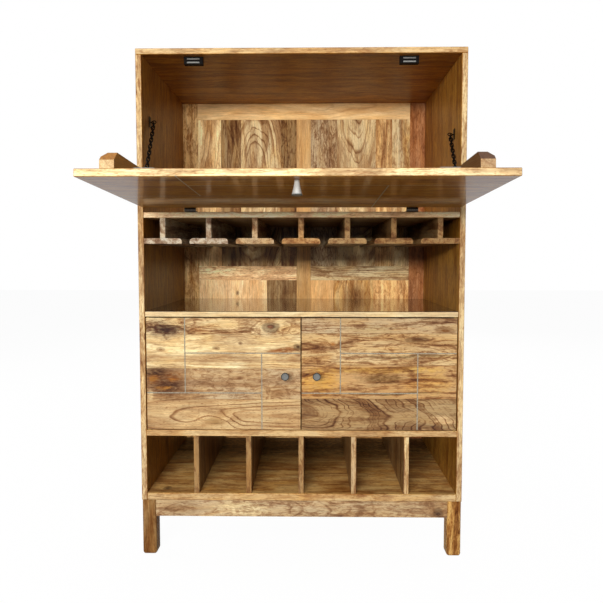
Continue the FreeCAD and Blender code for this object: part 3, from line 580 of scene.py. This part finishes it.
right_looks = ({"tone": "walnut", "figure": 1.9, "heart": (-240, -95), "slope": 0.28, "drift": 0.14,
                "bands": 0.6, "lines": 0.8, "mottle": 0.15, "clouds": 0.4, "dashes": 0.1, "warp": 20,
                "spacing": 6},
               {"tone": "hazel", "figure": 1.9, "heart": (-900, -10), "slope": 0.05, "streak": 0.7,
                "mottle": 0.35, "clouds": 0.7},
               {"tone": "tan", "figure": 1.9, "heart": (-700, 90), "slope": 0.05, "drift": 0.03,
                "streak": 0.6, "lines": 0.35, "mottle": 0.5, "clouds": 0.65, "warp": 18},
               {"tone": "drab", "figure": 2.2, "heart": (-700, 170), "slope": 0.05, "streak": 0.6,
                "lines": 0.35, "mottle": 0.4, "clouds": 0.65})
right_spots = ((182, 125, 34, 11, "#6e441e", 1.0, 10), (-20, 128, 70, 12, "#9c8058", 0.8, 0),
               (112, 86, 100, 21, "#8e663c", 0.7, 0), (106, 90, 38, 10, "#543216", 1.0, 12),
               (-128, 95, 8, 6, "#96581e", 0.8, 6), (90, 52, 120, 5, "#7c6440", 0.8, 0),
               (11, -10, 68, 16, "#5e3e1e", 1.0, 0), (-165, -20, 60, 40, "#ae7e30", 0.6, 0),
               (140, -25, 70, 36, "#b4843c", 0.45, 0), (10, 14, 180, 10, "#b08838", 0.5, 0),
               (60, -52, 130, 3, "#6a5434", 0.9, 0), (183, -125, 30, 13, "#b8946a", 0.8, 0))
for node, edges, looks, spots, seed in (
        ("left_door_panel", left_edges, left_looks, left_spots, 16),
        ("right_door_panel", right_edges, right_looks, right_spots, 10)):
    planks = [plank(**look) for look in looks]
    dress(node, mango(node, planks, X, Z, centre_of(node), edges=edges, spots=spots, seed=seed))


# The open flap is the closed one turned about its hinge
hinge = np.array(joints["flap_hinge"]["pos_m"])
opening = math.radians(joints["flap_hinge"]["range_deg"][1])


def opened(points):
    """Points of the closed flap turned about the hinge line to where the open flap holds them."""
    cosine, sine = math.cos(opening), math.sin(opening)
    return (points - hinge) @ np.array([(1, 0, 0), (0, cosine, sine), (0, -sine, cosine)]) + hinge


def knob(name, body, seat, panel, place=lambda points: points):
    """Turned knob with its screw: a radius that changes along the axis, carried round a full circle. The
    stem flares as a square law from a slim base to the face, whose rim is a quarter circle; the screw's
    head behind the panel is a quarter circle too. seat is on the panel's outer face, and panel is the
    panel's thickness in mm."""
    height, base, face, rim = 32.0, 4.8, 11.0, 1.6
    stem_length, flare, swell = 30.0, 0.0895, 0.00376
    dish, dish_depth, pole = 8.6, 0.4, 0.4
    head, head_edge, head_pole = 4.2, 0.8, 0.3
    rim_rings, stem_rings, around = 7, 22, 48
    quarter = np.linspace(0, np.pi / 2, rim_rings)
    rise = np.linspace(0, stem_length, stem_rings)
    stem = base + flare * rise + swell * rise ** 2
    radius = np.concatenate((stem, face - rim + rim * np.cos(quarter), [dish, dish - dish_depth, pole]))
    level = np.concatenate((rise, height - rim + rim * np.sin(quarter),
                            [height, height - dish_depth, height - dish_depth]))
    head_radius = np.concatenate(([head], head - rim + rim * np.cos(quarter), [head_pole]))
    head_level = -panel - np.concatenate(([0.0], head_edge + rim * np.sin(quarter), [head_edge + rim]))
    swing = np.linspace(0, 2 * np.pi, around, endpoint=False)
    pieces = []
    for reach, along in ((radius, level), (head_radius, head_level)):
        ring = np.stack((reach[:, None] * np.cos(swing), 0 * swing - along[:, None],
                         reach[:, None] * np.sin(swing)), axis=-1)
        pieces.append(place(ring * MM + np.array(seat))[None])
    turned = skin(name, pieces[0], knob_nickel, body, [name])
    # The stem is bright up to its last rings; the rim is darkest, with patina and painted shade, and the
    # face a little
    #     # less so, with painted dark reflection
    rings, shares = (0, 19, 22, 28, 29, 32), (0, 0, 1.0, 1.0, 0.85, 0.7)
    dull = np.interp(np.arange(len(radius)), rings, shares)
    cover = turned.data.attributes.new("patina_shade_and_reflection", "FLOAT", "POINT")
    cover.data.foreach_set("value", np.repeat(dull, len(swing)))
    skin(name + "_screw", pieces[1][:, :, ::-1], zinc, body, [])


door_thickness, flap_thickness = 18, 16
for body in ("left_door", "right_door"):
    spot = centre_of(body + "_knob")
    knob(body + "_knob", body, (spot.x, front, spot.z), door_thickness)
flap_top, knob_from_top = 1388 * MM, 34 * MM
knob("flap_knob", "flap", (0, front, flap_top - knob_from_top), flap_thickness, opened)


def stay_chain(side, rise, name):
    """Welded chain: each link is a wire's circle carried round two half circles set apart along the chain,
    and lies a quarter turn from the last. It hangs between the eye on the side, at rise mm above the deck,
    and the eye on the flap."""
    eye_stand, eye_depth = 12 * MM, 70 * MM
    flap_eye = np.array((side * 409.5 * MM, front + 28 * MM, 1045.15 * MM))
    along_link, round_wire = 28, 10
    wire, bend, slack, pitch, play = 1.7 * MM, 4.2 * MM, 2.5 * MM, 12.5 * MM, 0.3 * MM
    inner_face = -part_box("left_side")[1].x
    deck_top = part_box("rack_deck")[1].z
    fixed = np.array((side * (inner_face - eye_stand), front + eye_depth, deck_top + rise * MM))
    moving = opened(flap_eye)
    way = (moving - fixed) / np.linalg.norm(moving - fixed)
    start = fixed + way * slack
    total = np.linalg.norm(moving - way * slack - start)
    count = 2 * int(total / pitch / 2) + 1
    overlap = 2 * wire + play
    length = (total + (count - 1) * overlap) / count
    across = np.array((1, 0, 0)) - way * way[0]
    across /= np.linalg.norm(across)
    flats = np.array([np.cross(way, across), across])[np.arange(count) % 2]
    normals = np.cross(way, flats)
    middles = start + way * (length / 2 + np.arange(count) * (length - overlap))[:, None]
    swing = np.linspace(0, 2 * np.pi, along_link, endpoint=False) + np.pi / along_link
    out = np.cos(swing)[:, None] * flats[:, None] + np.sin(swing)[:, None] * way
    line = middles[:, None] + bend * out
    line = line + (np.sign(np.sin(swing)) * (length / 2 - bend))[:, None] * way
    turn = np.linspace(0, 2 * np.pi, round_wire, endpoint=False)
    tube = np.cos(turn)[:, None] * out[:, :, None] + np.sin(turn)[:, None] * normals[:, None, None]
    points = line[:, :, None] + wire * tube
    chain = skin(name, points, black_iron, None, [name], capped=False)
    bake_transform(chain)


stay_chain(-1, 261, "left_stay_chain")
stay_chain(1, 224, "right_stay_chain")


def surroundings():
    """White surroundings, seen by the eye and in polished pieces, with little light of their own."""
    world = bpy.data.worlds.new("studio")
    bpy.context.scene.world = world
    world.use_nodes = True
    tree = world.node_tree
    tree.nodes.clear()
    path = add(tree, "LightPath")
    seen = add(tree, "Math", {0: path.outputs["Is Camera Ray"], 1: path.outputs["Is Glossy Ray"]},
               operation="MAXIMUM")
    seen = add(tree, "Math", {0: seen, 1: path.outputs["Is Transmission Ray"]}, operation="MAXIMUM")
    strength = add(tree, "MapRange", {"Value": seen, "To Min": 0.03, "To Max": 1.0})
    sky = add(tree, "Background", {"Color": (1, 1, 1, 1), "Strength": strength})
    add(tree, "OutputWorld", {"Surface": sky})


def pale_floor():
    """Painted floor: white to the eye but for the object's shadow, and warm grey in the light it returns."""
    material, tree, output = new_material("pale_floor")
    path = add(tree, "LightPath")
    seen = add(tree, "Math", {0: path.outputs["Is Camera Ray"], 1: path.outputs["Is Glossy Ray"]},
               operation="MAXIMUM")
    pale = add(tree, "Mix", {"Factor": seen, 6: linear("#948a7c"), 7: (1, 1, 1, 1)},
               data_type="RGBA").outputs[2]
    seen = add(tree, "Math", {0: seen, 1: 0.97}, operation="MULTIPLY")
    ground = add(tree, "BsdfDiffuse", {"Color": pale})
    white = add(tree, "Emission", {"Color": (1, 1, 1, 1)})
    mixed = add(tree, "MixShader", {0: seen, 1: ground, 2: white})
    tree.links.new(mixed.outputs[0], output.inputs["Surface"])
    reach = 12.0
    mesh = bpy.data.meshes.new("floor")
    corners = reach * np.array([(-1, -1, 0), (1, -1, 0), (1, 1, 0), (-1, 1, 0)], float)
    mesh.from_pydata(corners.tolist(), [], [(0, 1, 2, 3)])
    mesh.materials.append(material)
    floor = bpy.data.objects.new("floor", mesh)
    bpy.context.scene.collection.objects.link(floor)


def lamps():
    """Soft lamps, all turned to the middle of the cabinet: place, width and height in metres, and watts."""
    target = Vector((0, 0.2, 0.75))
    for name, place, size, watts in (("window", (-0.8, -3.8, 1.5), (2.4, 0.5), 195),
                                     ("ceiling", (-0.3, -2.8, 3.4), (2.4, 1.6), 46),
                                     ("left fill", (-3.4, 1.0, 1.6), (1.6, 1.6), 45),
                                     ("right fill", (3.4, 1.0, 1.6), (1.6, 1.6), 45),
                                     ("rear", (0.5, 4.0, 2.2), (3.0, 2.0), 80)):
        lamp = bpy.data.lights.new(name, "AREA")
        lamp.shape = "RECTANGLE"
        lamp.size, lamp.size_y = size
        lamp.energy = watts
        rig = bpy.data.objects.new(name, lamp)
        rig.location = place
        rig.rotation_euler = (target - Vector(place)).to_track_quat("-Z", "Y").to_euler()
        rig.visible_glossy = False
        bpy.context.scene.collection.objects.link(rig)


def view():
    """The eye, 1.42 m before the front plane, looking a little down and to the left."""
    picture, focal_length = 603, 516.5       # pixels
    axis_across, axis_down = 304.76, 283.29  # pixel at which the eye looks
    look_down, look_left = 2.81, 0.78        # degrees
    lens = bpy.data.cameras.new("view")
    lens.sensor_width = 36
    lens.lens = focal_length / picture * lens.sensor_width
    lens.shift_x = (picture / 2 - axis_across) / picture
    lens.shift_y = (axis_down - picture / 2) / picture
    lens.clip_start = 0.01
    eye = bpy.data.objects.new("view", lens)
    eye.location = (0.0296, front - 1.4219, 0.8408)
    eye.rotation_euler = (math.radians(90 - look_down), 0, math.radians(look_left))
    bpy.context.scene.collection.objects.link(eye)
    bpy.context.scene.camera = eye
    bpy.context.scene.view_settings.view_transform = "Standard"


surroundings()
pale_floor()
lamps()
view()
